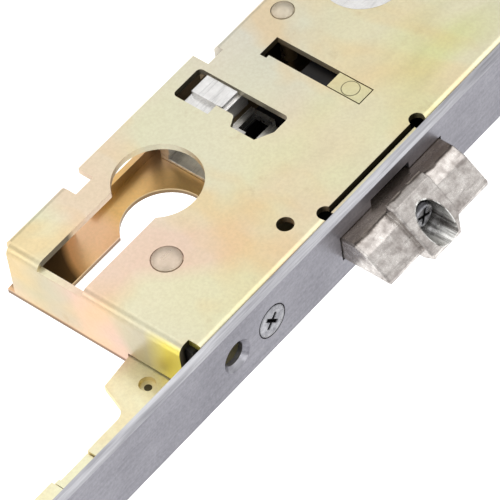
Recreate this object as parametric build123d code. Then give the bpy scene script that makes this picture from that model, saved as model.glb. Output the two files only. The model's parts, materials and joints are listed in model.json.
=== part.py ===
from build123d import *
import os
from math import asin, atan, atan2, cos, degrees, hypot, radians, sin

# A multipoint door lock lying on its side, in millimetres.
# X runs up the door along the face plate, Y runs into the door leaf and Z is the
# thickness of the lock. The origin is the axis of the profile cylinder at mid thickness.

# Face plate
backset = 35.0
plate_thick = 2.0
plate_wide = 16.0
plate_under_hook = 80.0
plate_over_hook = 70.0
plate_bevel = 0.35
plate_corner = 1.5

# Running and seating clearances
run_gap = 0.3
fit_gap = 0.02
shaft_gap = 0.06
slide_gap = 0.12
overrun = 1.0

# Centre case
case_thick = 14.3
cover_thick = 1.5
base_thick = 1.2
bend_radius = 2.0
case_below_screw = 9.0
case_above = 29.0
case_back = 13.2
case_back_low = 14.8
case_rear = 14.5
base_rear = 15.0
corner_slit = 0.4

# Profile cylinder opening
cylinder_radius = 9.0
cylinder_slot = 11.0

# Spindle followers
spindle = 8.0
spindle_play = 0.1
drive_centre = 92.0
spindles_apart = 30.0
hub_radius = 10.0
hub_boss_radius = 8.5

# Back edge of the cover
tab_low = -6.2
tab_high = 27.8
low_wall_end = 10.5
low_wall_top = -3.3
notch_low = -11.3
notch_high = 32.2
notch_floor = 10.7
notch_round = 0.9

# Open corners where the end walls meet the front wall
corner_long = 3.0
corner_deep = 3.7

# Relief holes and slit beside the latch
relief_low = 11.7
relief_high = 39.3
relief_radius = 1.6
relief_in = 3.9
slit_wide = 0.35

# Small hole in the cover
peep_x = 5.4
peep_in = 8.3
peep_radius = 1.75

# Window over the locking slide
window_low = 18.0
window_high = 26.1
window_front = -10.7
window_back = 11.5
window_round = 1.0
window_tooth = 2.6
window_tooth_front = -2.9
window_tooth_back = 2.7
window_nick_long = 3.6
window_nick_deep = 2.0

# Guide slot of the latch
guide_low = 36.0
guide_high = 40.5
guide_front = -19.8
guide_back = 4.0
guide_step_long = 0.8
guide_step_deep = 1.6

# Rivet posts of the centre case
post_radius = 1.6
head_large = 3.0
head_small = 2.2
head_dome = 0.25
head_edge = 0.12
head_edge_run = 0.5
head_ring = 0.2
head_seat = 0.7
low_post_x = -13.6
low_post_y = -13.7
middle_post_x = 46.4
middle_post_y = 7.5
hub_post_x = 77.0
hub_post_y = 8.5
high_post_in = 8.0
high_post_back = 8.0
high_post_front = -12.5

# Latch
latch_low = 10.9
latch_high = 40.8
latch_half = 3.0
latch_throw = 13.8
latch_flat = 3.3
latch_band = 6.2
latch_band_drop = 1.1
latch_reach = 11.2
latch_tip_up = 0.8
latch_edge = 0.35
boss_low = 21.0
boss_high = 30.6
boss_half = 4.8
boss_start = 2.9
boss_band = 5.2
boss_reach = 13.8
boss_tip_up = 2.2
boss_flare = 0.9
boss_shoulder = 2.2
bore_radius = 3.35
bore_bottom = 6.0
latch_split = 1.1
boss_edge = 0.4

# Latch aperture in the face plate
aperture_gap = 0.25
aperture_wing_half = 3.25
aperture_boss_half = 5.05

# Carrier behind the latch head
carrier_back = 10.5
carrier_half = 2.9
tail_low = 32.5
tail_high = 43.0
tail_back = -3.8
tail_root = 3.5
tail_bottom = 0.6
tail_top = 4.7
lug_low = 35.5
lug_high = 39.9
lug_thick = 3.7
lug_bottom = -3.4

# Guide tab and its rivet
tab_long = 8.1
tab_side = 0.25
tab_rivet_radius = 1.8
tab_rivet_from_front = 3.9

# Latch follower arm
latch_arm_start = 26.0
latch_arm_end = 8.0
latch_arm_half = 3.2
latch_arm_tip = 2.5
latch_arm_bottom = -3.3
latch_arm_top = 0.2

# Torsion spring on the latch follower
spring_wire = 0.9
spring_gap = 0.3
spring_bottom = 0.7
spring_leg = 6.0

# Drive plate
drive_throw = 18.0
drive_thick = 1.5
drive_back = 19.4
strip_back = 11.5
rail_back = 12.2
tongue_long = 8.1
tongue_slant = 0.8
tongue_lean = 1.3
tongue_round = 3.2
tongue_hole_out = 3.2
tongue_hole_in = 12.3
tongue_hole_radius = 1.7
tongue_hole_small = 0.8
tongue_hole_floor = 0.4
drive_wide_end = 97.5
joint_below = 30.4
joint_above = 23.0
joint_notch = 8.0
joint_lip = 1.1
joint_wide = 5.4
joint_lap = 10.8
joint_web = 1.6
joint_sink = 0.7
joint_gap = 0.15
gate_top = 0.45

# Drive follower arm and stud
drive_arm = 24.0
drive_arm_root = 8.0
drive_arm_half = 5.2
drive_stud = 4.0
drive_arm_bottom = -4.0
drive_arm_top = 0.6
drive_stud_bottom = -5.6
drive_stud_gap = 0.25

# Locking slide moved by the cylinder cam
lock_low = 16.6
lock_high = 27.6
lock_front = -1.5
lock_back = 11.6
lock_bottom = 1.8
lug_inner = 12.3
cam_notch = 9.0
cam_notch_front = 0.2
cam_lug_bottom = -3.8
lock_wall = 1.8
lock_body_front = 1.3
lock_body_back = 9.6
foot_thick = 0.7
foot_front = 2.0
pad_low = 20.9
pad_high = 25.7
pad_front = 1.7
pad_back = 9.2
pad_top = 6.9
nose_low = 13.0
nose_high = 18.0
nose_tip = -12.1
nose_play = 0.3
nose_slot = 5.3

# Moulded guide and detent spring below the window
moulding_low = 18.8
moulding_high = 30.0
moulding_front = -10.4
moulding_back = 0.8
moulding_top = -0.6
moulding_wall = 1.8
moulding_groove = 4.4
detent_thick = 0.8
detent_top = 1.4
detent_low = 21.2
detent_high = 27.6
detent_bar = 1.4
detent_bar_back = 0.7
detent_short = 3.3
detent_long = 5.8
detent_pad_front = -7.0
detent_pad_back = -5.2
detent_pad_high = 26.0

# Hook points
hook_low = -190.0
hook_above_joint = 126.0
hook_thick = 6.0
hook_pivot_in = 18.0
hook_pin_line = 10.0
hook_pin_radius = 2.0
hook_pin_top = 2.7
hook_hub = 8.0
hook_hub_top = 5.2
hook_pivot = 4.0
hook_pivot_foot = 5.0
hook_pivot_neck = 2.5
hook_reach = 38.0
hook_arm_back = 7.0
hook_arm_front = 6.0
hook_nose = 13.0
hook_nose_thick = 11.0
hook_tip_cut = 5.0
hook_shoulder = 8.0
hook_throat = 2.5
hook_fork = 15.5
hook_fork_wall = 2.5
hook_fork_root = 7.9
hook_fork_lead = 4.0
fork_steps = 24
hook_case_over_reach = 14.0
hook_case_up = 27.0
hook_case_deep = 30.0
hook_slot_half = 3.35
hook_slot_short = 0.2
hook_slot_up = 8.2
hook_slot_round = 0.6
hook_post_end = 6.0
hook_post_in = 27.0
hook_post_head = 2.4
hook_screw_low_end = 6.5
hook_screw_high_end = 7.0

# Countersunk machine screws that hold the cases to the face plate
screw_radius = 2.0
screw_head = 3.5
screw_long = 8.0
screw_rim = 0.25
screw_rim_deep = 0.3
recess_arm = 1.9
recess_wide = 0.85
recess_deep = 1.5
recess_turn = 45.0
case_screw_low = -9.8
case_screw_in = 6.8
nut_half = 3.9
nut_deep = 7.0
nut_bottom = -4.05

# Latch screw
latch_screw_radius = 1.9
latch_screw_head = 2.9
latch_screw_head_high = 1.8
latch_screw_edge = 0.6
latch_screw_long = 13.0
latch_recess_deep = 1.2
latch_recess_turn = 20.0

# Cylinder retaining screw hole
cylinder_screw_x = -19.9
cylinder_screw_radius = 2.6
cylinder_screw_sink = 3.6

# Wood screw holes
fixing_end = 13.0
fixing_over_hook = 62.0
fixing_under_hook = 115.0
fixing_radius = 2.3
fixing_sink = 3.6

# Spacer in the open corner of the centre case
spacer_nut_gap = 0.5
spacer_deep = 4.2
spacer_bottom = -3.9
spacer_gap = 0.1

# Rail guides
guide_over_hook = 86.0
guide_under_hook = 84.0
guide_half = 6.0
guide_deep = 12.2
guide_foot = 7.5
guide_crown = 4.0
guide_chamfer = 1.2

# Places along the door worked out from the sizes above
case_down = case_below_screw - cylinder_screw_x
case_up = drive_centre + case_above
latch_centre = drive_centre - spindles_apart
joint_down = case_down + joint_below
joint_up = case_up + joint_above
tongue_end = case_down + tongue_long
tongue_hole_x = case_down + tongue_hole_out
hook_high = joint_up + hook_above_joint
hook_slot_down = hook_reach - hook_slot_short
hook_case_down = hook_reach + hook_case_over_reach
hook_post_down = hook_case_down - hook_post_end
hook_post_up = hook_case_up - hook_post_end
hook_screw_down = hook_case_down - hook_screw_low_end
hook_screw_up = hook_case_up - hook_screw_high_end
plate_down = plate_under_hook - hook_low
plate_up = hook_high + plate_over_hook
high_post_x = case_up - high_post_in
case_screw_high = case_up - case_screw_in
spacer_low = run_gap + cover_thick - case_down
spacer_high = case_screw_low - nut_half - spacer_nut_gap
guide_xs = [hook_low + guide_over_hook, hook_high - guide_under_hook]
fixing_xs = [
    fixing_end - plate_down,
    hook_low + fixing_over_hook,
    hook_high - fixing_under_hook,
    plate_up - fixing_end,
]
case_posts = [
    (low_post_x, low_post_y, head_large),
    (middle_post_x, middle_post_y, head_small),
    (hub_post_x, hub_post_y, head_small),
    (high_post_x, high_post_back, head_large),
    (high_post_x, high_post_front, head_large),
]

# Planes worked out from the sizes above
front = -backset
behind = front + plate_thick
z_top = case_thick / 2
z_bottom = -case_thick / 2
z_under = z_top - cover_thick
z_floor = z_bottom + base_thick
wall_inner = behind + cover_thick
drive_bottom = z_floor + slide_gap
drive_top = drive_bottom + drive_thick
rail_front = wall_inner + run_gap
drive_rear = front + drive_back
strip_rear = front + strip_back
rail_rear = front + rail_back
hub_bottom = z_floor + slide_gap
hub_top = z_under - slide_gap
hook_pivot_y = front + hook_pivot_in
hook_pin_y = hook_pivot_y - hook_pin_line
hook_swing = 2 * degrees(atan(drive_throw / 2 / hook_pin_line))
drive_half_swing = degrees(asin(drive_throw / 2 / drive_arm))
latch_arm = latch_throw / (sin(radians(latch_arm_start)) + sin(radians(latch_arm_end)))
screw_spots = [case_screw_low, case_screw_high]
for hook_x in (hook_low, hook_high):
    screw_spots += [hook_x - hook_screw_down, hook_x + hook_screw_up]


def block(x0, x1, y0, y1, z0, z1):
    """Box between two corners."""
    low = (Align.MIN, Align.MIN, Align.MIN)
    return Pos(x0, y0, z0) * Box(x1 - x0, y1 - y0, z1 - z0, align=low)


def post(x, y, z0, z1, radius):
    """Cylinder along Z."""
    seat = (Align.CENTER, Align.CENTER, Align.MIN)
    return Pos(x, y, z0) * Cylinder(radius, z1 - z0, align=seat)


def rod(x, z, y0, y1, radius):
    """Cylinder along Y."""
    seat = (Align.CENTER, Align.CENTER, Align.MIN)
    return Pos(x, y0, z) * Rot(-90, 0, 0) * Cylinder(radius, y1 - y0, align=seat)


def sink(x, y0, head, shank):
    """Right-angled cone that narrows along +Y from the head radius to the shank radius."""
    seat = (Align.CENTER, Align.CENTER, Align.MIN)
    return Pos(x, y0, 0) * Rot(-90, 0, 0) * Cone(head, shank, head - shank, align=seat)


def outline(points):
    """Face in the XY plane from corner points."""
    return make_face(Polyline(*points, close=True))


def slab(face, z0, z1):
    """Face drawn in the XY plane, made solid between two heights."""
    return extrude(Pos(0, 0, z0) * face, z1 - z0, dir=(0, 0, 1))


def rounded(face, radius, spots):
    """Round the corners of a face that lie nearest to the given spots."""
    corners = [min(face.vertices(), key=lambda v: hypot(v.X - x, v.Y - y)) for x, y in spots]
    return fillet(corners, radius)


def channel(x0, x1, y0, y1, z0, z1):
    """Sheet bent down along its two long edges, open below and at both ends."""
    outer = block(x0, x1, y0, y1, z0, z1)
    outer = fillet(outer.faces().sort_by(Axis.Z)[-1].edges().filter_by(Axis.X), bend_radius)
    inner = block(
        x0 - overrun, x1 + overrun, y0 + cover_thick, y1 - cover_thick,
        z0 - overrun, z1 - cover_thick,
    )
    inner = fillet(inner.faces().sort_by(Axis.Z)[-1].edges().filter_by(Axis.X), bend_radius - cover_thick)
    return outer - inner


def end_flange(x, side, y0, y1, z0, z1):
    """Sheet bent down over an end: x is its outer face and side points out of the case."""
    root = x - side * (bend_radius + overrun)
    outer = block(min(x, root), max(x, root), y0, y1, z0, z1)
    brow = outer.edges().filter_by(Axis.Y).group_by(Axis.Z)[-1].sort_by(Axis.X)
    outer = fillet(brow[-1 if side > 0 else 0], bend_radius)
    face = x - side * cover_thick
    deep = root - side * overrun
    inner = block(
        min(face, deep), max(face, deep), y0 - overrun, y1 + overrun, z0 - overrun, z1 - cover_thick,
    )
    brow = inner.edges().filter_by(Axis.Y).group_by(Axis.Z)[-1].sort_by(Axis.X)
    inner = fillet(brow[-1 if side > 0 else 0], bend_radius - cover_thick)
    return outer - inner


def folded_tray(x0, x1, y0, y1, z0, z1):
    """Open-bottomed tray of cover sheet: four bent walls with open corners at the back."""
    body = channel(x0 + bend_radius, x1 - bend_radius, y0, y1, z0, z1)
    end_back = y1 - bend_radius + corner_slit
    body += end_flange(x0, -1, y0, end_back, z0, z1)
    return body + end_flange(x1, 1, y0, end_back, z0, z1)


def rail_gate(x, rear):
    """Notch in an end wall at x, through which a rail slides."""
    return block(
        x - cover_thick - overrun, x + cover_thick + overrun,
        behind - overrun, rear + run_gap, z_floor - overrun, drive_top + gate_top,
    )


def keyhole(z0, z1):
    """Profile cylinder opening, which stops at the lower end wall."""
    slot = block(
        -case_down + cover_thick, 0, -cylinder_slot / 2, cylinder_slot / 2, z0, z1,
    )
    return post(0, 0, z0, z1, cylinder_radius) + slot


def rivet_seat(x, y, head, high_z):
    """Stepped hole in a cover for the head of a rivet post."""
    step = z_under + head_seat
    return post(x, y, z_under - overrun, step, post_radius + fit_gap) + post(
        x, y, step, high_z, head + head_ring,
    )


def window_cut():
    """Window with a tooth on its lower side and a cut corner."""
    shape = outline([
        (window_low, window_back),
        (window_high, window_back),
        (window_high, window_front),
        (window_low + window_nick_long, window_front),
        (window_low, window_front + window_nick_deep),
        (window_low, window_tooth_front),
        (window_low + window_tooth, window_tooth_front + window_tooth / 2),
        (window_low + window_tooth, window_tooth_back),
        (window_low, window_tooth_back),
    ])
    shape = rounded(shape, window_round, [
        (window_low, window_back),
        (window_high, window_back),
        (window_high, window_front),
        (window_low + window_tooth, window_tooth_front + window_tooth / 2),
    ])
    return slab(shape, z_under - overrun, z_top + overrun)


def guide_cut():
    """Guide slot of the latch with a small step in its rear corner."""
    main = block(guide_low, guide_high, guide_front, guide_back, z_under - overrun, z_top + overrun)
    step = block(
        guide_low - guide_step_long, guide_low + guide_step_long,
        guide_back - guide_step_deep, guide_back, z_under - overrun, z_top + overrun,
    )
    return main + step


def case_cover():
    """Folded cover of the centre case, with its cut-outs."""
    body = folded_tray(-case_down, case_up, behind, case_back, z_floor, z_top)
    low_z = z_floor - overrun
    high_z = z_top + overrun
    body -= block(bend_radius - case_down, notch_high, notch_floor, case_back + overrun, low_z, high_z)
    body += channel(bend_radius - case_down, notch_low, behind, case_back_low, z_floor, z_top)
    body += end_flange(-case_down, -1, 0, case_back_low - bend_radius + corner_slit, z_floor, z_top)
    body += block(tab_low, tab_high, notch_floor - notch_round, case_rear, z_under, z_top)
    body -= block(
        -case_down - overrun, -case_down + corner_long,
        behind - overrun, behind + corner_deep, low_z, high_z,
    )
    body -= block(
        case_up - corner_long, case_up + overrun,
        behind - overrun, behind + corner_deep, low_z, high_z,
    )
    body -= keyhole(low_z, high_z)
    body -= block(
        -case_down - overrun, bend_radius - case_down, -cylinder_slot / 2, cylinder_slot / 2,
        z_under, high_z,
    )
    for centre in (latch_centre, drive_centre):
        body -= post(centre, 0, low_z, high_z, hub_boss_radius + shaft_gap)
    for x, y, head in case_posts:
        body -= rivet_seat(x, y, head, high_z)
    body -= post(peep_x, front + peep_in, z_under - overrun, high_z, peep_radius)
    body -= window_cut()
    body -= guide_cut()
    relief_y = front + relief_in
    for x in (relief_low, relief_high):
        body -= post(x, relief_y, z_under - overrun, high_z, relief_radius)
    body -= block(
        relief_low, relief_high, behind - overrun, relief_y + slit_wide, z_under - overrun, high_z,
    )
    body -= block(
        latch_low - aperture_gap, latch_high + aperture_gap, behind - overrun, wall_inner + overrun,
        -aperture_boss_half, aperture_boss_half,
    )
    for x in (case_screw_low, case_screw_high):
        body -= rod(x, 0, behind - overrun, wall_inner + overrun, screw_radius + run_gap)
    body -= rod(
        cylinder_screw_x, 0, behind - overrun, wall_inner + overrun, cylinder_screw_radius + run_gap,
    )
    body -= rail_gate(-case_down + cover_thick / 2, drive_rear)
    body -= rail_gate(case_up - cover_thick / 2, strip_rear)
    return body


def case_base():
    """Flat base of the centre case with one wall folded up behind the cover's tab."""
    body = block(-case_down, case_up, behind, base_rear, z_bottom, z_floor)
    wall_front = case_rear - base_thick
    body += block(tab_low + run_gap, low_wall_end, wall_front, case_rear, z_floor, low_wall_top)
    body += block(low_wall_end, tab_high - run_gap, wall_front, case_rear, z_floor, z_under)
    low_z = z_bottom - overrun
    high_z = z_floor + overrun
    body -= keyhole(low_z, high_z)
    for centre in (latch_centre, drive_centre):
        body -= post(centre, 0, low_z, high_z, hub_boss_radius + shaft_gap)
    for x, y, _ in case_posts:
        body -= post(x, y, low_z, high_z, post_radius + fit_gap)
    return body


def rivet_post(x, y, head):
    """Post that ties a cover to its base: shank, head in the cover and a low dome."""
    step = z_under + head_seat
    body = post(x, y, z_bottom, step, post_radius)
    body += post(x, y, step, z_top + head_dome, head)
    crown = body.faces().sort_by(Axis.Z)[-1].edges()
    return chamfer(crown, head_edge, head_edge_run)


def case_rivets():
    """Rivet posts of the centre case."""
    return Compound([rivet_post(x, y, head) for x, y, head in case_posts])


def screw_hole(x):
    """Countersunk clearance hole through the face plate."""
    hole = rod(x, 0, front - overrun, behind + overrun, screw_radius + fit_gap)
    hole += rod(x, 0, front - overrun, front + screw_rim_deep, screw_head + screw_rim)
    return hole + sink(x, front, screw_head + fit_gap, screw_radius)


def wide_hole(x, radius, head):
    """Countersunk hole for a screw that is not part of the lock."""
    hole = rod(x, 0, front - overrun, behind + overrun, radius)
    return hole + sink(x, front, head, radius)


def latch_aperture():
    """Opening for the latch: a long slot with a taller middle."""
    body = block(
        latch_low - aperture_gap, latch_high + aperture_gap, front - overrun, behind + overrun,
        -aperture_wing_half, aperture_wing_half,
    )
    body += block(
        boss_low - boss_flare, boss_high + boss_flare, front - overrun, behind + overrun,
        -aperture_boss_half, aperture_boss_half,
    )
    return body


def hook_aperture(x):
    """Slot in the face plate that a hook swings through."""
    slot = block(
        x - hook_slot_down, x + hook_slot_up, front - overrun, behind + overrun,
        -hook_slot_half, hook_slot_half,
    )
    return fillet(slot.edges().filter_by(Axis.Y), hook_slot_round)


def faceplate():
    """Face plate strip with its holes and a bevel along both front edges."""
    body = block(-plate_down, plate_up, front, behind, -plate_wide / 2, plate_wide / 2)
    body = fillet(body.edges().filter_by(Axis.Y), plate_corner)
    long_edges = body.faces().sort_by(Axis.Y)[0].edges().filter_by(Axis.X)
    body = chamfer(long_edges, plate_bevel)
    body -= latch_aperture()
    for x in (hook_low, hook_high):
        body -= hook_aperture(x)
    for x in screw_spots + guide_xs:
        body -= screw_hole(x)
    for x in fixing_xs:
        body -= wide_hole(x, fixing_radius, fixing_sink)
    body -= wide_hole(cylinder_screw_x, cylinder_screw_radius, cylinder_screw_sink)
    return body


def cross_recess(x, y, deep, turn):
    """Cross recess in a screw head whose face lies at y."""
    flute = block(-recess_arm, recess_arm, 0, deep, -recess_wide / 2, recess_wide / 2)
    cross = flute + Rot(0, 90, 0) * flute
    return Pos(x, y, 0) * Rot(0, turn, 0) * cross


def machine_screw(x):
    """Countersunk screw with a cross recess, driven along +Y from the front."""
    body = rod(x, 0, front + screw_head - screw_radius, front + screw_long, screw_radius)
    body += sink(x, front, screw_head, screw_radius)
    return body - cross_recess(x, front, recess_deep, recess_turn)


def machine_screws(spots):
    """Screws at the given places along the face plate."""
    return Compound([machine_screw(x) for x in spots])


def nut_block(x):
    """Tapped block inside a case, seated on the cover and the front wall."""
    body = block(
        x - nut_half, x + nut_half, wall_inner, wall_inner + nut_deep, nut_bottom, z_under,
    )
    body -= block(
        x - nut_half - overrun, x + nut_half + overrun, wall_inner - overrun,
        wall_inner + bend_radius - cover_thick, z_under - bend_radius + cover_thick, z_under + overrun,
    )
    return body - rod(x, 0, wall_inner - overrun, front + screw_long + run_gap, screw_radius + fit_gap)


def nut_blocks():
    """Tapped blocks of all three cases."""
    return Compound([nut_block(x) for x in screw_spots])


def wing_profile():
    """Side outline of the latch wings, as Y and Z places."""
    band_y = front - latch_band
    band_z = latch_half - latch_band_drop
    tip_y = front - latch_reach
    return [
        (front + latch_split, -latch_half),
        (front + latch_split, latch_half),
        (front - latch_flat, latch_half),
        (band_y, band_z),
        (tip_y, -latch_half + latch_tip_up),
        (tip_y, -latch_half),
    ]


def boss_profile():
    """Side outline of the raised centre of the latch, as Y and Z places."""
    tip_y = front - boss_reach
    return [
        (front - boss_start, -boss_half),
        (front - boss_start, boss_half),
        (front - boss_band, boss_half),
        (tip_y, -boss_half + boss_tip_up),
        (tip_y, -boss_half + boss_tip_up / 2),
        (tip_y + boss_shoulder, -boss_half),
    ]


def side_slab(points, x0, x1):
    """Outline given as Y and Z places, made solid from x0 to x1."""
    face = make_face(Polyline(*[(0, y, z) for y, z in points], close=True))
    return extrude(Pos(x0, 0, 0) * face, x1 - x0, dir=(1, 0, 0))


def latch_head():
    """Cast latch head: two bevelled wings and a raised centre with a counterbore."""
    wings = side_slab(wing_profile(), latch_low, latch_high)
    ends = wings.faces().sort_by(Axis.X)
    wings = chamfer(ends[0].edges() + ends[-1].edges(), latch_edge)
    boss = side_slab(boss_profile(), boss_low - boss_flare / 2, boss_high + boss_flare / 2)
    centre = (boss_low + boss_high) / 2
    low_side = boss.faces().sort_by(Axis.X)[0].edges()
    boss = chamfer(low_side, boss_edge)
    edge = boss_high + boss_flare / 2
    cutter = outline([
        (edge + overrun, front - boss_reach - overrun),
        (edge - boss_shoulder - overrun, front - boss_reach - overrun),
        (edge + overrun, front - boss_reach + boss_shoulder + overrun),
    ])
    boss -= slab(cutter, -boss_half - overrun, boss_half + overrun)
    body = wings + boss
    body -= rod(centre, 0, front - boss_reach - overrun, front - bore_bottom, bore_radius)
    body -= rod(
        centre, 0, front - bore_bottom - overrun, front + latch_split + overrun,
        latch_screw_radius + fit_gap,
    )
    return body


def latch_screw():
    """Pan-head screw that holds the latch head and lets it be reversed."""
    centre = (boss_low + boss_high) / 2
    seat = front - bore_bottom
    body = rod(centre, 0, seat - latch_screw_head_high, seat, latch_screw_head)
    rim = body.faces().sort_by(Axis.Y)[0].edges()
    body = chamfer(rim, latch_screw_edge)
    body += rod(centre, 0, seat, seat + latch_screw_long, latch_screw_radius)
    top = seat - latch_screw_head_high
    return body - cross_recess(centre, top, latch_recess_deep, latch_recess_turn)


def latch_carrier():
    """Slide behind the latch head, with a tail that the follower arm pushes."""
    centre = (boss_low + boss_high) / 2
    start = front + latch_split
    rear = front + carrier_back
    body = block(
        latch_low + aperture_gap, latch_high - aperture_gap, start, rear, -carrier_half, carrier_half,
    )
    body += block(tail_low, tail_high, rear - overrun, tail_back, tail_bottom, tail_top)
    body += block(tail_low, latch_high - aperture_gap, rear - tail_root, rear, 0, tail_top)
    body += block(lug_low, lug_high, tail_back - lug_thick, tail_back, lug_bottom, tail_bottom)
    body -= rod(
        centre, 0, start - overrun, front - bore_bottom + latch_screw_long + run_gap,
        latch_screw_radius + fit_gap,
    )
    x, y = tab_rivet_place()
    return body - post(x, y, tail_bottom - overrun, tail_top + overrun, tab_rivet_radius / 2 + fit_gap)


def tab_rivet_place():
    """Axis of the guide tab's rivet."""
    return (guide_low + guide_high) / 2, guide_front + tab_rivet_from_front


def latch_guide_tab():
    """Flush tab that rides in the cover's guide slot."""
    body = block(
        guide_low + tab_side, guide_high - tab_side, guide_front + tab_side,
        guide_front + tab_long, tail_top, z_top - fit_gap,
    )
    x, y = tab_rivet_place()
    return body - post(x, y, tail_top - overrun, z_top + overrun, tab_rivet_radius + fit_gap)


def tab_rivet():
    """Stepped rivet that fixes the guide tab to the carrier's tail."""
    x, y = tab_rivet_place()
    body = post(x, y, tail_top, z_top, tab_rivet_radius)
    return body + post(x, y, tail_bottom, tail_top, tab_rivet_radius / 2)


def follower_hub(centre):
    """Hub with a square spindle hole, borne in the cover and the base."""
    body = post(centre, 0, hub_bottom, hub_top, hub_radius)
    body += post(centre, 0, z_bottom, z_top, hub_boss_radius)
    side = (spindle + spindle_play) / 2
    hole = block(
        centre - side, centre + side, -side, side, z_bottom - overrun, z_top + overrun,
    )
    return body, hole


def arm_bar(centre, angle, long, root_half, tip_half, z0, z1):
    """Tapered arm with a round tip, pointing at an angle from a hub."""
    bar = outline([(0, -root_half), (long, -tip_half), (long, tip_half), (0, root_half)])
    bar = slab(bar, z0, z1) + post(long, 0, z0, z1, tip_half)
    return Pos(centre, 0, 0) * Rot(0, 0, angle) * bar


def latch_follower():
    """Follower whose arm pushes the latch back."""
    body, hole = follower_hub(latch_centre)
    arm = arm_bar(
        latch_centre, 180 + latch_arm_start, latch_arm, latch_arm_half, latch_arm_tip,
        latch_arm_bottom, latch_arm_top,
    )
    return body + arm - hole


def latch_spring():
    """Torsion spring round the latch follower, with one leg down its arm."""
    inner = hub_radius + spring_gap
    outer = inner + spring_wire
    top = hub_top - run_gap
    body = post(latch_centre, 0, spring_bottom, top, outer)
    body -= post(latch_centre, 0, spring_bottom - overrun, top + overrun, inner)
    leg = block(
        inner, outer + spring_leg, -spring_wire / 2, spring_wire / 2,
        spring_bottom, spring_bottom + spring_wire,
    )
    body += Pos(latch_centre, 0, 0) * Rot(0, 0, 180 + latch_arm_start) * leg
    return body


def joint_notch_cut(end, side):
    """Notch for the rail's hook near the end of the drive strip."""
    x0 = end + side * joint_lip
    x1 = x0 + side * joint_notch
    return block(
        min(x0, x1), max(x0, x1), strip_rear - joint_wide, strip_rear + overrun,
        drive_bottom - overrun, drive_top + overrun,
    )


def latch_clearance():
    """Opening in the drive plate for the raised part of the latch, over the whole travel."""
    return block(
        boss_low - boss_flare - run_gap - drive_throw, boss_high + boss_flare + run_gap,
        rail_front - overrun, front - boss_start + latch_throw + run_gap,
        drive_bottom - overrun, drive_top + overrun,
    )


def stud_slot():
    """Slot in the drive plate for the drive follower's stud."""
    half = drive_stud + drive_stud_gap
    x = drive_centre - drive_throw / 2
    near = -drive_arm * cos(radians(drive_half_swing)) + half
    far = -drive_arm - half
    cut = block(x - half, x + half, far, near, drive_bottom - overrun, drive_top + overrun)
    return fillet(cut.edges().filter_by(Axis.Z), half - run_gap)


def drive_plate():
    """Sliding plate in the case, with the tongue and strips that leave it at both ends."""
    tip_y = drive_rear - tongue_slant
    root_x = -tongue_end - 2 * tongue_lean
    face = outline([
        (-joint_down, rail_front),
        (joint_up, rail_front),
        (joint_up, strip_rear),
        (drive_wide_end, strip_rear),
        (drive_wide_end, drive_rear),
        (-case_down, drive_rear),
        (-tongue_end, tip_y),
        (root_x, strip_rear),
        (-joint_down, strip_rear),
    ])
    face = rounded(face, tongue_round, [(root_x, strip_rear), (drive_wide_end, strip_rear)])
    body = slab(face, drive_bottom, drive_top)
    body -= latch_clearance()
    body -= stud_slot()
    body -= joint_notch_cut(-joint_down, 1)
    body -= joint_notch_cut(joint_up, -1)
    nose_half = (nose_high - nose_low) / 2 + nose_play
    middle = (nose_high + nose_low) / 2
    for x in (middle, middle - drive_throw):
        body -= block(
            x - nose_half, x + nose_half, drive_rear - nose_slot, drive_rear + overrun,
            drive_bottom - overrun, drive_top + overrun,
        )
    hole_y = front + tongue_hole_in
    hole_floor = drive_bottom + tongue_hole_floor
    body -= post(-tongue_hole_x, hole_y, hole_floor, drive_top + overrun, tongue_hole_radius)
    return body - post(
        -tongue_hole_x, hole_y, drive_bottom - overrun, drive_top + overrun, tongue_hole_small,
    )


def rail(end, side, far, pin_x):
    """Rail from the drive strip's end to a hook: side is -1 below the case and 1 above it."""
    start = end + side * joint_gap
    lap_end = end - side * joint_lap
    web_end = start + side * joint_web
    lap_top = drive_bottom - slide_gap
    lap_bottom = lap_top - drive_thick
    body = block(min(start, far), max(start, far), rail_front, rail_rear, drive_bottom, drive_top)
    body += block(
        min(web_end, lap_end), max(web_end, lap_end), rail_front, strip_rear, lap_bottom, lap_top,
    )
    body += block(
        min(start, web_end), max(start, web_end), rail_front, strip_rear, lap_bottom, drive_bottom,
    )
    hook_x = end - side * (joint_lip + joint_gap)
    hook_end = end - side * (joint_lip + joint_notch - joint_gap)
    body += block(
        min(hook_x, hook_end), max(hook_x, hook_end), strip_rear - joint_wide + joint_gap, strip_rear,
        lap_top, drive_top - joint_sink,
    )
    return body - post(
        pin_x, hook_pin_y, drive_bottom - overrun, drive_top + overrun, hook_pin_radius + fit_gap,
    )


def rail_pin_x(pivot_x):
    """Place of a rail's drive pin along X with the hooks drawn in."""
    return pivot_x - drive_throw / 2


def lower_rail():
    """Rail to the lower hook."""
    pin_x = rail_pin_x(hook_low)
    return rail(-joint_down, -1, pin_x - hook_arm_back, pin_x)


def upper_rail():
    """Rail to the upper hook."""
    pin_x = rail_pin_x(hook_high)
    return rail(joint_up, 1, pin_x + hook_arm_back, pin_x)


def rail_pins():
    """Drive pins riveted in the rails, one for each hook."""
    pins = [
        post(rail_pin_x(x), hook_pin_y, drive_bottom, hook_pin_top, hook_pin_radius)
        for x in (hook_low, hook_high)
    ]
    return Compound(pins)


def drive_follower():
    """Follower with an arm and a stud that shifts the drive plate."""
    body, hole = follower_hub(drive_centre)
    angle = 270 - drive_half_swing
    arm = arm_bar(
        drive_centre, angle, drive_arm, drive_arm_root, drive_arm_half,
        drive_arm_bottom, drive_arm_top,
    )
    stud = post(drive_arm, 0, drive_stud_bottom, drive_arm_top, drive_stud)
    body += arm + Pos(drive_centre, 0, 0) * Rot(0, 0, angle) * stud
    return body - hole


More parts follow.
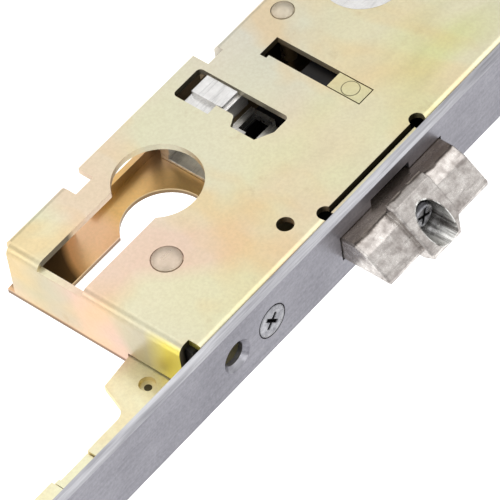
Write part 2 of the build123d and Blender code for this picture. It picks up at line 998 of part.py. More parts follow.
def lock_slide():
    """Cast locking slide: cam lugs, a pad in the window and a nose for the drive plate."""
    top = z_under - slide_gap
    body = block(lock_low, lock_high, lock_body_front, lock_body_back, lock_bottom, top)
    body += block(lug_inner, lock_low, lock_front, lock_back, cam_lug_bottom, top)
    body += block(lock_low, lock_low + lock_wall, lock_front, lock_back, cam_lug_bottom, top)
    body -= block(
        lug_inner - overrun, lock_low - run_gap, cam_notch_front, cam_notch_front + cam_notch,
        cam_lug_bottom - overrun, z_under + overrun,
    )
    body += block(pad_low, pad_high, pad_front, pad_back, top, pad_top)
    body += block(nose_low, nose_high, nose_tip, cam_notch_front, drive_bottom, drive_top)
    body += block(nose_low, nose_high, lock_front, cam_notch_front, drive_top, cam_lug_bottom)
    body += block(lug_inner, nose_high, cam_notch_front, lock_back, drive_bottom, drive_bottom + foot_thick)
    return body + block(
        lug_inner, nose_high, lock_back - foot_front, lock_back, drive_bottom, cam_lug_bottom,
    )


def slide_guide():
    """Moulded guide below the window, with a groove for the detent spring."""
    body = block(moulding_low, moulding_high, moulding_front, moulding_back, z_floor, moulding_top)
    body -= block(
        moulding_low + moulding_wall, moulding_high - moulding_wall,
        moulding_front + moulding_wall, moulding_back - moulding_wall,
        moulding_top - moulding_groove, moulding_top + overrun,
    )
    return body


def detent_spring():
    """Bent strip spring that lies on the moulded guide, with a pad at its free end."""
    z0 = moulding_top
    z1 = detent_top
    back = detent_bar_back
    body = block(detent_low, detent_high, back - detent_bar, back, z0, z1)
    body += block(detent_low, detent_low + detent_thick, back - detent_short, back, z0, z1)
    body += block(detent_high - detent_thick, detent_high, back - detent_long, back, z0, z1)
    hook = outline([
        (detent_high, back - detent_long),
        (detent_pad_high, detent_pad_front),
        (detent_pad_high - detent_thick, detent_pad_front),
        (detent_high - detent_thick, back - detent_long),
    ])
    body += slab(hook, z0, z1)
    return body + block(
        detent_low + detent_thick, detent_pad_high, detent_pad_front, detent_pad_back, z0, z1,
    )


def corner_spacer():
    """Moulded spacer behind the front wall at the lower end, with a way for the cylinder screw."""
    y0 = wall_inner + spacer_gap
    body = block(spacer_low, spacer_high, y0, y0 + spacer_deep, spacer_bottom, z_under)
    top_edge = body.edges().filter_by(Axis.X).group_by(Axis.Y)[0].sort_by(Axis.Z)[-1]
    body = chamfer(top_edge, bend_radius - cover_thick)
    return body - rod(
        cylinder_screw_x, 0, y0 - overrun, y0 + spacer_deep + overrun, cylinder_screw_radius + run_gap,
    )


def hook_blade():
    """Swing hook, drawn thrown, with the pivot at the origin and the nose towards +X."""
    reach = -hook_reach
    inner = reach + hook_nose_thick
    face = outline([
        (-hook_arm_back, 0),
        (-hook_arm_back, reach + hook_shoulder),
        (-hook_arm_back + hook_shoulder / 2, reach),
        (hook_nose - hook_tip_cut, reach),
        (hook_nose, reach + hook_tip_cut),
        (hook_nose, inner),
        (hook_nose - hook_tip_cut / 2, inner + hook_throat / 2),
        (hook_arm_front, inner),
        (hook_arm_front, 0),
    ])
    face = rounded(face, hook_throat, [
        (-hook_arm_back + hook_shoulder / 2, reach),
        (hook_nose, reach + hook_tip_cut),
        (hook_arm_front, inner),
    ])
    half = hook_thick / 2
    body = slab(face, -half, half) + post(0, 0, -half, hook_hub_top, hook_hub)
    lean = 270 + hook_swing / 2
    wide = fork_half() + hook_fork_wall
    lobe = block(0, hook_fork, -wide, wide, -half, half)
    gap = block(
        hook_fork_root, hook_fork + hook_fork_lead, -fork_half(), fork_half(),
        -half - overrun, half + overrun,
    )
    gap = gap - post(0, 0, -half - overrun, half + overrun, hook_fork_root)
    body += Rot(0, 0, lean) * lobe
    body -= Rot(0, 0, lean) * gap
    return body - post(0, 0, -half - overrun, hook_hub_top + overrun, hook_pivot + shaft_gap)


def fork_half():
    """Half width of the hook's fork: the pin, and how far an even turn strays from it."""
    stray = 0
    for step in range(fork_steps + 1):
        part_way = step / fork_steps - 1 / 2
        exact = degrees(atan2(part_way * drive_throw, hook_pin_line))
        even = part_way * hook_swing
        reach = hypot(part_way * drive_throw, hook_pin_line)
        stray = max(stray, abs(sin(radians(exact - even))) * reach)
    return hook_pin_radius + stray + run_gap / 2


def hook_at(pivot_x):
    """Hook in its drawn-in position."""
    return Pos(pivot_x, hook_pivot_y, 0) * Rot(0, 0, -hook_swing) * hook_blade()


def hook_pivot_post(pivot_x):
    """Stepped pivot of a hook, riveted in the base and the cover."""
    y = hook_pivot_y
    body = post(pivot_x, y, z_floor, -hook_thick / 2 - slide_gap / 2, hook_pivot_foot)
    body += post(pivot_x, y, -hook_thick / 2 - slide_gap / 2, z_under, hook_pivot)
    return body + post(pivot_x, y, z_bottom, z_top + head_dome, hook_pivot_neck)


def hook_cover(pivot_x):
    """Folded cover of a hook case."""
    x0 = pivot_x - hook_case_down
    x1 = pivot_x + hook_case_up
    back = behind + hook_case_deep
    body = folded_tray(x0, x1, behind, back, z_floor, z_top)
    body -= block(
        pivot_x - hook_slot_down, pivot_x + hook_slot_up, behind - overrun, wall_inner + overrun,
        -hook_slot_half, hook_slot_half,
    )
    body -= post(pivot_x, hook_pivot_y, z_under - overrun, z_top + overrun, hook_pivot_neck + fit_gap)
    for x in (pivot_x - hook_post_down, pivot_x + hook_post_up):
        body -= rivet_seat(x, front + hook_post_in, hook_post_head, z_top + overrun)
    for x in (pivot_x - hook_screw_down, pivot_x + hook_screw_up):
        body -= rod(x, 0, behind - overrun, wall_inner + overrun, screw_radius + run_gap)
    body -= rail_gate(x0 + cover_thick / 2, rail_rear)
    body -= rail_gate(x1 - cover_thick / 2, rail_rear)
    return body


def hook_base(pivot_x):
    """Flat base of a hook case."""
    x0 = pivot_x - hook_case_down
    x1 = pivot_x + hook_case_up
    body = block(x0, x1, behind, behind + hook_case_deep, z_bottom, z_floor)
    body -= post(pivot_x, hook_pivot_y, z_bottom - overrun, z_floor + overrun, hook_pivot_neck + fit_gap)
    for x in (pivot_x - hook_post_down, pivot_x + hook_post_up):
        body -= post(x, front + hook_post_in, z_bottom - overrun, z_floor + overrun, post_radius + fit_gap)
    return body


def hook_rivets(pivot_x):
    """Rivet posts of a hook case."""
    spots = (pivot_x - hook_post_down, pivot_x + hook_post_up)
    return Compound([rivet_post(x, front + hook_post_in, hook_post_head) for x in spots])


def rail_guide(x):
    """Cast guide behind the face plate that a rail slides through."""
    body = block(x - guide_half, x + guide_half, behind, behind + guide_deep, -guide_foot, guide_crown)
    rear = body.faces().sort_by(Axis.Y)[-1].edges()
    body = chamfer(rear, guide_chamfer)
    body -= block(
        x - guide_half - overrun, x + guide_half + overrun, rail_front - run_gap, rail_rear + run_gap,
        drive_bottom - slide_gap, drive_top + slide_gap,
    )
    return body - rod(x, 0, behind - overrun, front + screw_long + run_gap, screw_radius + fit_gap)


def rail_guides():
    """Both rail guides."""
    return Compound([rail_guide(x) for x in guide_xs])


parts = {
    "faceplate": faceplate(),
    "case_cover": case_cover(),
    "case_base": case_base(),
    "case_rivets": case_rivets(),
    "case_screws": machine_screws([case_screw_low, case_screw_high]),
    "nut_blocks": nut_blocks(),
    "corner_spacer": corner_spacer(),
    "slide_guide": slide_guide(),
    "detent_spring": detent_spring(),
    "latch_head": latch_head(),
    "latch_screw": latch_screw(),
    "latch_carrier": latch_carrier(),
    "latch_guide_tab": latch_guide_tab(),
    "latch_tab_rivet": tab_rivet(),
    "latch_follower": latch_follower(),
    "latch_spring": latch_spring(),
    "drive_plate": drive_plate(),
    "lower_rail": lower_rail(),
    "upper_rail": upper_rail(),
    "rail_pins": rail_pins(),
    "drive_follower": drive_follower(),
    "lock_slide": lock_slide(),
    "rail_guides": rail_guides(),
    "rail_guide_screws": machine_screws(guide_xs),
}
for name, pivot_x in (("lower", hook_low), ("upper", hook_high)):
    parts[f"{name}_hook"] = hook_at(pivot_x)
    parts[f"{name}_hook_pivot"] = hook_pivot_post(pivot_x)
    parts[f"{name}_hook_cover"] = hook_cover(pivot_x)
    parts[f"{name}_hook_base"] = hook_base(pivot_x)
    parts[f"{name}_hook_rivets"] = hook_rivets(pivot_x)
    screws = [pivot_x - hook_screw_down, pivot_x + hook_screw_up]
    parts[f"{name}_hook_screws"] = machine_screws(screws)

os.makedirs("parts", exist_ok=True)
for name, shape in parts.items():
    export_step(shape, f"parts/{name}.step")
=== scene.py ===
import json
import bpy
from mathutils import Matrix, Vector


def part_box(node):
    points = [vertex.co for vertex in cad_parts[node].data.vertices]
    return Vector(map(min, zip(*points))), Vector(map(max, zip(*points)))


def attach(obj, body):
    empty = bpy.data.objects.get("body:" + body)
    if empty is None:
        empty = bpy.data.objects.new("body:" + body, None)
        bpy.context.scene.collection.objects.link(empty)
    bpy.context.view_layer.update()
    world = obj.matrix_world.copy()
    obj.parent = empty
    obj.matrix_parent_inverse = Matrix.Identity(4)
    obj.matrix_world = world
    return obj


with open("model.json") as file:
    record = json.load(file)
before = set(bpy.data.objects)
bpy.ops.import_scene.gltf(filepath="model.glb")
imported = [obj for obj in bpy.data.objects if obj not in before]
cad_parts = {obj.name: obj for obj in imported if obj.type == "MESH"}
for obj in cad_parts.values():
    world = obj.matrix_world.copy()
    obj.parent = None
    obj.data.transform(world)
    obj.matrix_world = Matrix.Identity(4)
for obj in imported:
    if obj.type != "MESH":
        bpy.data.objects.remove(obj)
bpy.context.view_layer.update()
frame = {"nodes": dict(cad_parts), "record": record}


# Node helpers


class Nodes:
    """A material's node tree with short calls for the nodes used here."""

    def __init__(self, name):
        self.material = bpy.data.materials.new(name)
        self.material.use_nodes = True
        self.tree = self.material.node_tree
        self.tree.nodes.clear()
        self.output = self.tree.nodes.new("ShaderNodeOutputMaterial")
        self.shader = self.tree.nodes.new("ShaderNodeBsdfPrincipled")
        self.tree.links.new(self.shader.outputs["BSDF"], self.output.inputs["Surface"])
        self.place = self.tree.nodes.new("ShaderNodeTexCoord").outputs["Object"]
        self.normal = self.tree.nodes.new("ShaderNodeNewGeometry").outputs["Normal"]

    def feed(self, socket, value):
        if isinstance(value, bpy.types.NodeSocket):
            self.tree.links.new(value, socket)
        else:
            socket.default_value = value

    def set(self, **values):
        for key, value in values.items():
            self.feed(self.shader.inputs[key.replace("_", " ")], value)

    def scaled(self, vector, scale):
        node = self.tree.nodes.new("ShaderNodeVectorMath")
        node.operation = "MULTIPLY"
        self.feed(node.inputs[0], vector)
        node.inputs[1].default_value = scale
        return node.outputs[0]

    def noise(self, scale, detail=3.0, rough=0.5, stretch=(1, 1, 1), distort=0.0, seed=0.0):
        node = self.tree.nodes.new("ShaderNodeTexNoise")
        node.noise_dimensions = "4D"
        node.inputs["W"].default_value = seed
        self.feed(node.inputs["Vector"], self.scaled(self.place, stretch))
        node.inputs["Scale"].default_value = scale
        node.inputs["Detail"].default_value = detail
        node.inputs["Roughness"].default_value = rough
        node.inputs["Distortion"].default_value = distort
        return node.outputs["Fac"]

    def ramp(self, value, low, high, a=0.0, b=1.0):
        node = self.tree.nodes.new("ShaderNodeMapRange")
        self.feed(node.inputs["Value"], value)
        node.inputs["From Min"].default_value = low
        node.inputs["From Max"].default_value = high
        node.inputs["To Min"].default_value = a
        node.inputs["To Max"].default_value = b
        return node.outputs["Result"]

    def math(self, operation, a, b=0.0):
        node = self.tree.nodes.new("ShaderNodeMath")
        node.operation = operation
        self.feed(node.inputs[0], a)
        self.feed(node.inputs[1], b)
        return node.outputs[0]

    def mix(self, factor, a, b):
        node = self.tree.nodes.new("ShaderNodeMix")
        node.data_type = "RGBA"
        self.feed(node.inputs[0], factor)
        self.feed(node.inputs[6], a if isinstance(a, bpy.types.NodeSocket) else (*a, 1))
        self.feed(node.inputs[7], b if isinstance(b, bpy.types.NodeSocket) else (*b, 1))
        return node.outputs[2]

    def axis(self, vector, which):
        node = self.tree.nodes.new("ShaderNodeSeparateXYZ")
        self.feed(node.inputs[0], vector)
        return node.outputs[which]

    def length(self, vector):
        node = self.tree.nodes.new("ShaderNodeVectorMath")
        node.operation = "LENGTH"
        self.feed(node.inputs[0], vector)
        return node.outputs["Value"]

    def off_axis(self, centre, across):
        """Distance from an axis through centre; across holds 1 for the two directions square to it."""
        node = self.tree.nodes.new("ShaderNodeVectorMath")
        node.operation = "SUBTRACT"
        self.feed(node.inputs[0], self.place)
        node.inputs[1].default_value = centre
        return self.length(self.scaled(node.outputs[0], across))

    def band(self, value, start, full, ease, end):
        """1 between full and ease, falling to 0 at start and end."""
        return self.math("MULTIPLY", self.ramp(value, start, full), self.ramp(value, ease, end, 1.0, 0.0))

    def bump(self, height, distance, strength=1.0, soften=0.0):
        """Surface relief; soften rounds the shading of edges over that radius."""
        node = self.tree.nodes.new("ShaderNodeBump")
        if soften:
            edge = self.tree.nodes.new("ShaderNodeBevel")
            edge.inputs["Radius"].default_value = soften
            self.feed(node.inputs["Normal"], edge.outputs["Normal"])
        node.inputs["Strength"].default_value = strength
        node.inputs["Distance"].default_value = distance
        self.feed(node.inputs["Height"], height)
        self.feed(self.shader.inputs["Normal"], node.outputs["Normal"])


# Seed that lays out the pink of the film
PINK_SEED = 1.0
# Along X: where the film's pink begins and is full towards the low end, and its green towards the high end
LOW_END_FROM = 0.035
LOW_END_FULL = -0.005
HIGH_END_FROM = 0.020
HIGH_END_FULL = 0.055
# Distance from the cylinder, in metres: where painted shade starts to darken the inside of the case, and
# where it is full
INNER_SHADE_FROM = 0.0190
INNER_SHADE_FULL = 0.0206
# Strength of the full painted shade, in the case and on the drive plate
INNER_SHADE_CASE = 0.84
INNER_SHADE_PLATE = 0.93
# Length over which the painted shade begins and ends along the drive plate
INNER_SHADE_FADE = 0.002
# Along X: the low end of the case
CASE_END = -0.0285
# Along Y: where the end wall gets a painted reflection of the yellow tongue
TONGUE_REFLECTION_FROM = -0.0205
TONGUE_REFLECTION_FULL = -0.0260
# How far from the low end of the case along X the painted reflection begins and is full
TONGUE_REFLECTION_REACH = 0.010
TONGUE_REFLECTION_REACH_FULL = 0.008
# Along Y: the front of the face plate
PLATE_FRONT = -0.035
# Radius of a screw's head, and the two radii between which its dark rim ends
SCREW_HEAD = 0.0035
RIM_FULL = 0.00375
RIM_END = 0.0039
# Along Y: where the painted shade of the latch near the face plate begins
LATCH_SHADE = -0.0405
# Along Y: where the streaked tarnish of the latch, with a painted reflection of the face plate's dark side
# over it, begins and is full
TARNISH_AND_REFLECTION_FROM = -0.0390
TARNISH_AND_REFLECTION_FULL = -0.0380
# Along Z: the plane under which upright edges of the base are cut edges
BASE_CUT = -0.0062


def srgb(r, g, b):
    """Linear colour from 0 to 255 values as seen on screen."""
    return tuple(((v / 255 + 0.055) / 1.055) ** 2.4 if v > 10 else v / 255 / 12.92 for v in (r, g, b))


def passivated(
    name, pale, wall, rough=0.34, rainbow=1.0, inner_shade=None, cut_below=None, line=None, glow=False, dome=0.0,
):
    """Zinc plate under a thin yellow film: soft rainbow clouds, stains and rolling marks.

    The triple inner_shade gives painted shade on inner faces: the axis and sign that the shaded face points
    along, and the measure it grows with.
    Cut below is the Z place under which upright cut edges are dark.
    Line is the centre and radius of a fine dark line round a rivet.
    Glow paints a reflection of the yellow tongue on the low end wall. Dome is the radius over which edges
    look rounded.
    """
    n = Nodes(name)
    upright = n.math("ABSOLUTE", n.axis(n.normal, 2))
    # Upright faces take the darker wall colour and flat faces the pale one: painted shade on the upright
    # walls
    colour = n.mix(n.ramp(upright, 0.25, 0.95), wall, pale)
    low_end = n.ramp(n.axis(n.place, 0), LOW_END_FROM, LOW_END_FULL, 0.2, 1.0)
    high_end = n.ramp(n.axis(n.place, 0), HIGH_END_FROM, HIGH_END_FULL, 0.3, 1.0)
    # Each cloud: its noise, where the noise begins to show and is full, its strength, tint and place
    clouds = (
        (n.noise(34, 1, 0.5, distort=0.6, seed=PINK_SEED), 0.47, 0.60, 0.50, srgb(244, 192, 184), low_end),
        (
            n.noise(19, 1, 0.5, stretch=(1, 1.6, 1), distort=0.7),
            0.46, 0.58, 0.55, srgb(220, 226, 148), high_end,
        ),
        (
            n.noise(15, 1, 0.5, stretch=(1.4, 0.8, 1), seed=3.0),
            0.46, 0.58, 0.80, srgb(214, 217, 214), high_end,
        ),
        (
            n.noise(36, 3, 0.6, stretch=(1, 0.7, 1), distort=0.5, seed=5.0),
            0.50, 0.62, 0.55, srgb(242, 200, 132), 0.8,
        ),
    )
    for cloud, low, high, strength, tint, where in clouds:
        film = n.math("MULTIPLY", n.ramp(cloud, low, high, 0.0, strength * rainbow), where)
        colour = n.mix(film, colour, tint)
    stain = n.ramp(n.noise(150, 5, 0.65), 0.60, 0.76, 0.0, 0.35)
    colour = n.mix(stain, colour, srgb(184, 150, 94))
    speck = n.ramp(n.noise(1500, 2, 0.6), 0.36, 0.64, 0.0, 0.14)
    colour = n.mix(speck, colour, srgb(176, 158, 116))
    # Painted reflection of the yellow tongue on the outer face of the low end wall
    if glow:
        facing = n.ramp(n.axis(n.normal, 0), -0.5, -0.9)
        near = n.ramp(n.axis(n.place, 1), TONGUE_REFLECTION_FROM, TONGUE_REFLECTION_FULL, 0.0, 0.9)
        from_end = n.math("ABSOLUTE", n.math("SUBTRACT", n.axis(n.place, 0), CASE_END))
        beside = n.ramp(from_end, TONGUE_REFLECTION_REACH, TONGUE_REFLECTION_REACH_FULL)
        near = n.math("MULTIPLY", near, beside)
        colour = n.mix(n.math("MULTIPLY", facing, near), colour, srgb(250, 234, 104))
    # Painted shade on inner faces: inside the case away from the cylinder, and on the drive plate under the
    # cover
    if inner_shade:
        axis, sign, measure = inner_shade
        facing = n.ramp(n.math("MULTIPLY", n.axis(n.normal, axis), sign), 0.5, 0.9)
        if measure == "from cylinder":
            depth = n.ramp(n.off_axis((0, 0, 0), (1, 1, 0)), INNER_SHADE_FROM, INNER_SHADE_FULL, 0.0, INNER_SHADE_CASE)
            depth = n.math("MULTIPLY", depth, n.ramp(n.axis(n.place, 0), CASE_END, CASE_END + 0.001))
        else:
            along = n.axis(n.place, 0)
            depth = n.band(along, CASE_END, CASE_END + INNER_SHADE_FADE, case_high - INNER_SHADE_FADE, case_high)
            depth = n.math("MULTIPLY", depth, INNER_SHADE_PLATE)
        colour = n.mix(n.math("MULTIPLY", facing, depth), colour, srgb(52, 42, 16))
    if cut_below is not None:
        under = n.ramp(n.axis(n.place, 2), cut_below, cut_below - 0.0002)
        cut = n.math("MULTIPLY", n.ramp(upright, 0.6, 0.2), under)
        colour = n.mix(n.math("MULTIPLY", cut, 0.75), colour, srgb(92, 64, 40))
    if line:
        centre, radius = line
        away = n.off_axis(centre, (1, 1, 0))
        mark = n.band(away, radius - 0.00012, radius - 0.00004, radius + 0.00008, radius + 0.00016)
        colour = n.mix(n.math("MULTIPLY", mark, 0.75), colour, srgb(84, 76, 52))
    n.set(Base_Color=colour, Metallic=0.82, IOR=1.5)
    n.set(Roughness=n.ramp(n.noise(260, 4, 0.6, stretch=(0.3, 1, 1)), 0.3, 0.7, rough - 0.06, rough + 0.10))
    grain = n.noise(900, 3, 0.6, stretch=(0.4, 1, 1))
    n.bump(grain, 0.00003, 0.6, soften=dome)
    return n.material


def brushed(name, light, dark, rough, edge=None, screws=()):
    """Satin steel with fine brush marks along X.

    Edge is a lighter colour painted on the long sides as a highlight, and screws are the places of dark
    rims round screw heads.
    """
    n = Nodes(name)
    marks = n.noise(1400, 3, 0.6, stretch=(0.02, 1, 1))
    grain = n.noise(1700, 3, 0.7)
    cloud = n.noise(60, 3, 0.5)
    blend = n.math("ADD", n.math("MULTIPLY", marks, 0.35), n.math("MULTIPLY", cloud, 0.30))
    blend = n.math("ADD", blend, n.math("MULTIPLY", grain, 0.35))
    colour = n.mix(n.ramp(blend, 0.38, 0.62), dark, light)
    # Painted highlight on the long sides of the face plate
    if edge:
        side_highlight = n.ramp(n.math("ABSOLUTE", n.axis(n.normal, 2)), 0.4, 0.8)
        streak = n.noise(500, 4, 0.7, stretch=(0.05, 1, 1))
        colour = n.mix(side_highlight, colour, n.mix(n.ramp(streak, 0.35, 0.65), light, edge))
    for x in screws:
        within = n.ramp(n.off_axis((x, 0, 0), (1, 0, 1)), RIM_FULL, RIM_END, 1.0, 0.0)
        below = n.ramp(n.axis(n.place, 1), PLATE_FRONT + 0.00002, PLATE_FRONT + 0.0001)
        colour = n.mix(n.math("MULTIPLY", within, below), colour, srgb(40, 38, 42))
    n.set(Base_Color=colour, Metallic=0.9)
    n.set(Roughness=n.ramp(marks, 0.3, 0.7, rough - 0.05, rough + 0.08))
    n.bump(grain, 0.00002, 0.4)
    return n.material


def screw(name, face):
    """Zinc-plated screw with painted shade in its recess; face is the place of its head's face along Y."""
    n = Nodes(name)
    mottle = n.noise(700, 4, 0.7)
    colour = n.mix(n.ramp(mottle, 0.35, 0.65), srgb(112, 112, 118), srgb(172, 172, 176))
    # Painted shade in the cross recess
    inside = n.band(n.axis(n.place, 1), face + 0.00005, face + 0.0003, face + 0.0030, face + 0.0032)
    colour = n.mix(n.math("MULTIPLY", inside, 0.8), colour, srgb(38, 36, 38))
    n.set(Base_Color=colour, Metallic=0.9, Roughness=n.ramp(mottle, 0.3, 0.7, 0.22, 0.36))
    n.bump(mottle, 0.00003, 0.5, soften=0.0006)
    return n.material


def cast(name, light, dark, rough, tarnish_and_reflection=None, bore=None):
    """Die casting: mottled, with small pits. The pair tarnish_and_reflection gives the Y places between
    which the upper faces darken, with real stain and a painted reflection of the face plate's dark side.

    Bore is the centre, radius and floor along Y of a bright bored hole.
    """
    n = Nodes(name)
    mottle = n.noise(420, 5, 0.7)
    cloud = n.noise(90, 2, 0.5)
    colour = n.mix(n.ramp(mottle, 0.36, 0.64), dark, light)
    colour = n.mix(n.ramp(cloud, 0.5, 0.75, 0.0, 0.3), colour, dark)
    drawn = n.ramp(n.noise(900, 3, 0.7, stretch=(0.12, 1, 1)), 0.52, 0.66, 0.0, 0.45)
    colour = n.mix(drawn, colour, tuple(c * 0.5 for c in dark))
    if tarnish_and_reflection:
        wander = n.math("MULTIPLY", n.math("SUBTRACT", n.noise(500, 3), 0.5), 0.0012)
        depth = n.math("ADD", n.axis(n.place, 1), wander)
        # Upward faces painted darker: partly stain, partly a painted reflection of the face plate's dark
        # side
        top = n.ramp(n.axis(n.normal, 2), 0.5, 0.9)
        colour = n.mix(n.math("MULTIPLY", top, 0.35), colour, srgb(150, 142, 136))
        # Streaked real tarnish near the face plate with a painted reflection of the face plate's dark side
        # over it
        tarnish_and_reflection_mask = n.math("MULTIPLY", n.ramp(depth, tarnish_and_reflection[0], tarnish_and_reflection[1], 0.0, 0.80), top)
        streaks = n.ramp(n.noise(420, 4, 0.7, stretch=(0.15, 1, 1)), 0.42, 0.60)
        colour = n.mix(tarnish_and_reflection_mask, colour, n.mix(streaks, srgb(96, 82, 72), srgb(172, 160, 148)))
        # Painted shade on the latch next to the face plate
        shade = n.math("MULTIPLY", n.ramp(depth, LATCH_SHADE, PLATE_FRONT), 0.45)
        colour = n.mix(shade, colour, srgb(112, 98, 88))
        # Dark line beside the start of the tarnish: where it begins, is full, fades and ends
        dark_line_places = [tarnish_and_reflection[0] + along for along in (0.0003, 0.0006, 0.0008, 0.0011)]
        dark_line = n.math("MULTIPLY", n.band(depth, *dark_line_places), top)
        colour = n.mix(n.math("MULTIPLY", dark_line, 0.8), colour, srgb(44, 36, 32))
    if bore:
        centre, radius, floor = bore
        inside = n.ramp(n.off_axis(centre, (1, 0, 1)), radius + 0.0001, radius)
        inside = n.math("MULTIPLY", inside, n.ramp(n.axis(n.place, 1), floor + 0.0002, floor))
        drawn = n.ramp(n.noise(900, 3, 0.6, stretch=(1, 0.08, 1)), 0.40, 0.58)
        colour = n.mix(inside, colour, n.mix(drawn, srgb(120, 116, 112), srgb(255, 254, 250)))
    n.set(Base_Color=colour, Metallic=0.85)
    n.set(Roughness=n.ramp(mottle, 0.3, 0.7, rough + 0.08, rough - 0.08))
    pits = n.ramp(n.noise(1100, 2, 0.5), 0.30, 0.42)
    n.bump(pits, 0.00004, 0.5, soften=0.0003)
    return n.material


def moulded(name, colour):
    """Black moulded plastic."""
    n = Nodes(name)
    shade = n.mix(n.noise(400, 3), colour, tuple(c * 1.8 for c in colour))
    n.set(Base_Color=shade, Metallic=0.0, Specular_IOR_Level=0.25)
    n.set(Roughness=n.ramp(n.noise(800, 2), 0.3, 0.7, 0.38, 0.5))
    n.bump(n.noise(1500, 2), 0.00002, 0.3)
    return n.material


def screw_places(nodes, head):
    """Places along X of the pair of screws in each node, from the node's box and the head's radius."""
    places = []
    for node in nodes:
        low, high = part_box(node)
        places += [low.x + head, high.x - head]
    return places


plate_screws = ("case_screws", "rail_guide_screws", "lower_hook_screws", "upper_hook_screws")
rims = screw_places(plate_screws, SCREW_HEAD)
rivet_low, rivet_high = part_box("latch_tab_rivet")
rivet_line = ((rivet_low + rivet_high) / 2, (rivet_high.x - rivet_low.x) / 2)
case_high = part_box("case_cover")[1].x
screw_low, screw_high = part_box("latch_screw")
latch_screw_face = screw_low.y
# Width of the bore round the latch screw's head, and the height of the head
bore_round_head = 0.0006
latch_head_high = 0.0018
latch_bore = (
    (screw_low + screw_high) / 2, (screw_high.x - screw_low.x) / 2 + bore_round_head,
    latch_screw_face + latch_head_high,
)
materials = {
    "faceplate_steel": brushed(
        "faceplate_steel", srgb(149, 148, 155), srgb(112, 111, 119), 0.36,
        edge=srgb(226, 226, 230), screws=rims,
    ),
    "passivated_steel": passivated(
        "passivated_steel", srgb(234, 228, 194), srgb(200, 190, 162),
        inner_shade=(1, -1, "from cylinder"), glow=True,
    ),
    "base_steel": passivated(
        "base_steel", srgb(240, 184, 118), srgb(182, 146, 110),
        inner_shade=(2, 1, "from cylinder"), cut_below=BASE_CUT,
    ),
    "yellow_steel": passivated(
        "yellow_steel", srgb(255, 250, 212), srgb(244, 226, 168), rainbow=0.6, inner_shade=(2, 1, "along case"),
    ),
    "rivet_steel": passivated(
        "rivet_steel", srgb(218, 206, 184), srgb(206, 188, 156), rough=0.30, rainbow=0.35, dome=0.0024,
    ),
    "zinc_casting": cast("zinc_casting", srgb(248, 247, 245), srgb(226, 224, 222), 0.34),
    "latch_casting": cast(
        "latch_casting", srgb(240, 235, 230), srgb(158, 150, 146), 0.28,
        tarnish_and_reflection=(TARNISH_AND_REFLECTION_FROM, TARNISH_AND_REFLECTION_FULL), bore=latch_bore,
    ),
    "screw_steel": screw("screw_steel", PLATE_FRONT),
    "spring_steel": brushed("spring_steel", srgb(225, 224, 220), srgb(190, 188, 184), 0.28),
    "hook_steel": brushed("hook_steel", srgb(205, 204, 206), srgb(168, 167, 172), 0.32),
    "black_moulding": moulded("black_moulding", srgb(20, 19, 20)),
}
tab = passivated("tab_steel", srgb(226, 222, 178), srgb(216, 204, 160), rainbow=0.6, line=rivet_line)
own = {
    "latch_guide_tab": tab,
    "latch_tab_rivet": tab,
    "latch_screw": screw("latch_screw_steel", latch_screw_face),
}
slots = {s["node"]: s["material_slot"] for s in frame["record"]["subparts"]}
for node, obj in frame["nodes"].items():
    obj.data.materials.clear()
    obj.data.materials.append(own.get(node, materials[slots[node]]))
    for polygon in obj.data.polygons:
        polygon.material_index = 0


# Thin trim on the case


def trim(name, low, high, slot):
    """Flat strip of sheet on the case, between two corners."""
    bpy.ops.mesh.primitive_cube_add(size=1, location=[(a + b) / 2 for a, b in zip(low, high)])
    obj = bpy.context.object
    obj.name = name
    obj.scale = [b - a for a, b in zip(low, high)]
    bpy.ops.object.transform_apply(location=True, scale=True)
    obj.data.materials.append(materials[slot])
    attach(obj, "frame")


latch_from, latch_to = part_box("latch_head")
plate_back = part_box("faceplate")[1].y
case_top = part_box("case_cover")[1].z
base_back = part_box("case_base")[1].y
# Strip under the slit beside the latch: how far inside the latch's ends, and where below the cover's top
strip_low_in = 0.0020
strip_high_in = 0.0028
strip_behind_plate = 0.00003
strip_deep = 0.00150
strip_low_down = 0.0021
strip_high_down = 0.0008
trim(
    "front_wall_top",
    (latch_from.x + strip_low_in, plate_back + strip_behind_plate, case_top - strip_low_down),
    (latch_to.x - strip_high_in, plate_back + strip_deep, case_top - strip_high_down), "passivated_steel",
)
# Strip behind the notch in the back edge: along the door, in from the back of the base, and its height
notch_from, notch_to = 0.0276, 0.0322
wall_deep, wall_in = 0.0017, 0.0005
wall_bottom, wall_top = -0.0059, 0.0012
trim(
    "base_wall_end", (notch_from, base_back - wall_deep, wall_bottom),
    (notch_to, base_back - wall_in, wall_top), "base_steel",
)

# Floor of the small hole in the tongue of the drive plate
floor_radius = 0.00078
floor_thick = 0.0003
floor_above_face = 0.0002
tongue_hole_x, tongue_hole_y = -0.0321, -0.0227
plate_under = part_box("drive_plate")[0].z
bpy.ops.mesh.primitive_cylinder_add(
    vertices=24, radius=floor_radius, depth=floor_thick,
    location=(tongue_hole_x, tongue_hole_y, plate_under + floor_above_face),
)
plug = bpy.context.object
plug.name = "tongue_hole_floor"
plug.data.materials.append(materials["yellow_steel"])
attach(plug, "drive")


# Floor, light and camera


def table(name, colour, glow):
    """Pale light table."""
    n = Nodes(name)
    n.set(Base_Color=n.mix(n.noise(3, 2), colour, tuple(c * 0.97 for c in colour)), Roughness=0.9)
    n.set(Emission_Color=(1, 1, 1, 1), Emission_Strength=glow)
    return n.material


# In metres
FLOOR_SIZE = 8
FLOOR_HEIGHT = -0.35
bpy.ops.mesh.primitive_plane_add(size=FLOOR_SIZE, location=(0, 0, FLOOR_HEIGHT))
floor = bpy.context.object
floor.name = "floor"
floor.data.materials.append(table("floor_white", (0.9, 0.9, 0.9), 0.56))

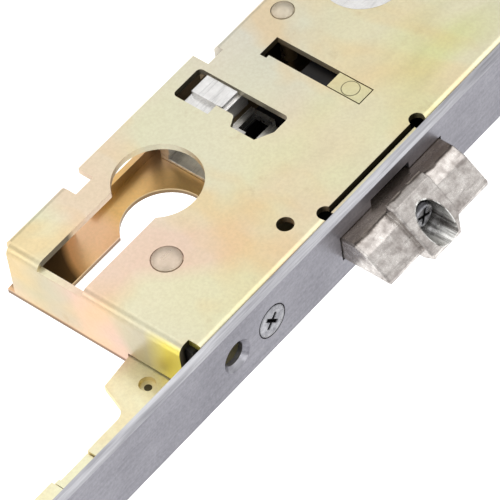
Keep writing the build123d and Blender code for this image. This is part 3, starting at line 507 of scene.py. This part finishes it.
# Sky: grey that gets brighter with height, two bright soft windows, and plain white for the camera
world = bpy.data.worlds.new("studio")
bpy.context.scene.world = world
world.use_nodes = True
wt = world.node_tree
wt.nodes.clear()
out = wt.nodes.new("ShaderNodeOutputWorld")
coord = wt.nodes.new("ShaderNodeTexCoord")
split = wt.nodes.new("ShaderNodeSeparateXYZ")
wt.links.new(coord.outputs["Generated"], split.inputs[0])
grade = wt.nodes.new("ShaderNodeMapRange")
wt.links.new(split.outputs[2], grade.inputs["Value"])
grade.inputs["From Min"].default_value = -0.2
grade.inputs["From Max"].default_value = 0.8
grade.inputs["To Min"].default_value = 0.46
grade.inputs["To Max"].default_value = 0.72


def sky_part(limits):
    """Soft-edged part of the sky; each limit is an axis of the direction, where it starts and is full."""
    share = None
    for which, start, full in limits:
        edge = wt.nodes.new("ShaderNodeMapRange")
        wt.links.new(split.outputs[which], edge.inputs["Value"])
        edge.inputs["From Min"].default_value = start
        edge.inputs["From Max"].default_value = full
        if share is None:
            share = edge.outputs["Result"]
            continue
        both = wt.nodes.new("ShaderNodeMath")
        both.operation = "MULTIPLY"
        wt.links.new(edge.outputs["Result"], both.inputs[0])
        wt.links.new(share, both.inputs[1])
        share = both.outputs[0]
    return share


# Each window: its strength and the limits of its part of the sky
light = grade.outputs["Result"]
windows = (
    (1.1, ((0, -0.1, -0.6), (1, -0.4, 0.0), (2, 0.0, 0.2), (2, 0.70, 0.50))),
    (0.45, ((1, -0.5, -0.8), (0, -0.2, 0.2), (2, 0.0, 0.2))),
)
for strength, limits in windows:
    add = wt.nodes.new("ShaderNodeMath")
    add.operation = "MULTIPLY_ADD"
    wt.links.new(sky_part(limits), add.inputs[0])
    add.inputs[1].default_value = strength
    wt.links.new(light, add.inputs[2])
    light = add.outputs[0]
sky = wt.nodes.new("ShaderNodeBackground")
sky.inputs["Color"].default_value = (1, 1, 1, 1)
wt.links.new(light, sky.inputs["Strength"])
white = wt.nodes.new("ShaderNodeBackground")
white.inputs["Color"].default_value = (1, 1, 1, 1)
white.inputs["Strength"].default_value = 1.05
seen = wt.nodes.new("ShaderNodeLightPath")
choose = wt.nodes.new("ShaderNodeMixShader")
wt.links.new(seen.outputs["Is Camera Ray"], choose.inputs[0])
wt.links.new(sky.outputs[0], choose.inputs[1])
wt.links.new(white.outputs[0], choose.inputs[2])
wt.links.new(choose.outputs[0], out.inputs["Surface"])


def area(name, place, size, power):
    """Soft square lamp that faces the cylinder."""
    data = bpy.data.lights.new(name, "AREA")
    data.size = size
    data.energy = power
    obj = bpy.data.objects.new(name, data)
    bpy.context.scene.collection.objects.link(obj)
    obj.location = place
    obj.rotation_mode = "QUATERNION"
    obj.rotation_quaternion = (-Vector(place)).to_track_quat("-Z", "Y")


area("key", (0.72, -0.30, 1.15), 1.1, 4.5)
area("fill", (0.30, 0.95, 1.05), 0.7, 1.6)
area("rim", (-0.5, -1.2, 0.35), 0.5, 2)

# Camera at the photograph's angle: directions of its right side and its back, the point it looks at
# and its distance from it
right = Vector((0.6325, -0.7668, -0.1113)).normalized()
back = Vector((-0.4349, -0.4703, 0.7683))
back = (back - right * back.dot(right)).normalized()
up = back.cross(right)
aim = Vector((0.0050, -0.0164, -0.0072))
reach = 1.0
# Millimetres across the sensor, and metres across what is seen at the aim
SENSOR = 36
FRAME_WIDE = 0.0943
camera = bpy.data.cameras.new("camera")
camera.sensor_width = SENSOR
camera.lens = SENSOR * reach / FRAME_WIDE
camera.clip_start = 0.05
camera.clip_end = 40
view = bpy.data.objects.new("camera", camera)
bpy.context.scene.collection.objects.link(view)
view.matrix_world = Matrix((
    (right.x, up.x, back.x, aim.x + back.x * reach),
    (right.y, up.y, back.y, aim.y + back.y * reach),
    (right.z, up.z, back.z, aim.z + back.z * reach),
    (0, 0, 0, 1),
))
bpy.context.scene.camera = view
bpy.context.scene.view_settings.view_transform = "Standard"
bpy.context.scene.view_settings.look = "None"
